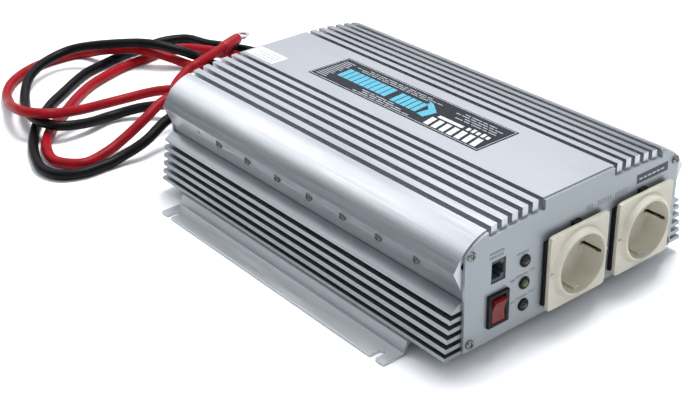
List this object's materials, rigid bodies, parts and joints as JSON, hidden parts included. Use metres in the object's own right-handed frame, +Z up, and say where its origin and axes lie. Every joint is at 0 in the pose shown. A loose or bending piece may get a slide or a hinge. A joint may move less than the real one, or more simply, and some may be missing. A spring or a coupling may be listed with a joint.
{
  "type": "power inverter",
  "caption": "Finned aluminium power inverter with two earthed outlets, rocker switch, remote jack, indicators, rear fan, slotted feet and loose battery cables ending in ring lugs.",
  "frame": {"origin": "centre of the housing's footprint, on the surface that its feet stand on", "axes": "+Z up, -Y towards the panel with the outlets, +Y towards the fan and cables, +X to the right seen from the front"},
  "size_m": [0.2959, 0.6049, 0.0903],
  "materials": {
    "cover": "satin anodised",
    "chassis": "satin anodised",
    "panel": "satin paint",
    "foot": "satin anodised",
    "screw": "zinc plated",
    "black_plastic": "moulded",
    "ivory_plastic": "moulded, glossy",
    "brass": "bright",
    "red_rocker": "moulded",
    "dark_lens": "glossy lens",
    "green_lens": "glossy lens",
    "label_black": "printed film",
    "sticker": "paper sticker",
    "label_grey": "printed film",
    "guard_wire": "bright plated wire",
    "black_rubber": "soft moulded",
    "cable_red": "soft sheath, semi-gloss",
    "cable_black": "soft sheath, semi-gloss",
    "sleeve_red": "shrunk sleeve",
    "sleeve_black": "shrunk sleeve",
    "tinned_copper": "tinned",
    "circuit_board": "solder mask",
    "ferrite": "matt",
    "winding": "taped copper wire",
    "capacitor_sleeve": "shrunk sleeve",
    "transistor_case": "moulded case",
    "bar_aluminium": "as extruded",
    "fuse_body": "clear moulded",
    "copper": "bright copper"
  },
  "bodies": {
    "housing": {"top_cover": "cover", "chassis": "chassis", "front_panel": "panel", "rear_panel": "panel", "foot_left": "foot", "foot_right": "foot", "foot_screws": "screw", "side_screws": "screw", "panel_screws": "screw", "outlet_frame_left": "black_plastic", "outlet_frame_right": "black_plastic", "outlet_left": "ivory_plastic", "outlet_right": "ivory_plastic", "earth_clips_left": "brass", "earth_clips_right": "brass", "contacts_left": "brass", "contacts_right": "brass", "switch_bezel": "black_plastic", "switch_terminals": "brass", "remote_jack": "black_plastic", "jack_contacts": "brass", "indicator_holders": "black_plastic", "indicator_upper": "dark_lens", "indicator_middle": "green_lens", "indicator_lower": "dark_lens", "top_label": "label_black", "rating_sticker": "sticker", "front_label": "label_grey", "fan_frame": "black_plastic", "fan_guard": "guard_wire", "fan_screws": "screw", "earth_stud": "brass", "earth_nut": "screw", "strain_relief_red_a": "black_rubber", "strain_relief_red_b": "black_rubber", "strain_relief_black_a": "black_rubber", "strain_relief_black_b": "black_rubber", "cable_red_a": "cable_red", "cable_red_b": "cable_red", "cable_black_a": "cable_black", "cable_black_b": "cable_black", "sleeve_red_a": "sleeve_red", "sleeve_red_b": "sleeve_red", "sleeve_black_a": "sleeve_black", "sleeve_black_b": "sleeve_black", "lug_red_a": "tinned_copper", "lug_red_b": "tinned_copper", "lug_black_a": "tinned_copper", "lug_black_b": "tinned_copper", "main_board": "circuit_board", "board_standoffs": "brass", "transformer_cores": "ferrite", "transformer_windings": "winding", "capacitors": "capacitor_sleeve", "power_transistors": "transistor_case", "clamp_bars": "bar_aluminium", "fuses": "fuse_body", "dc_busbars": "copper"},
    "rocker": {"switch_rocker": "red_rocker"},
    "fan": {"fan_rotor": "black_plastic"}
  },
  "joints": [
    {"name": "rocker_hinge", "type": "hinge", "parent": "housing", "child": "rocker", "pos_m": [-0.068, -0.152, 0.031], "axis": [-1, 0, 0], "range_deg": [0, 18]},
    {"name": "fan_spin", "type": "hinge", "parent": "housing", "child": "fan", "pos_m": [0.052, 0.14, 0.046], "axis": [0, 1, 0], "continuous": true}
  ]
}
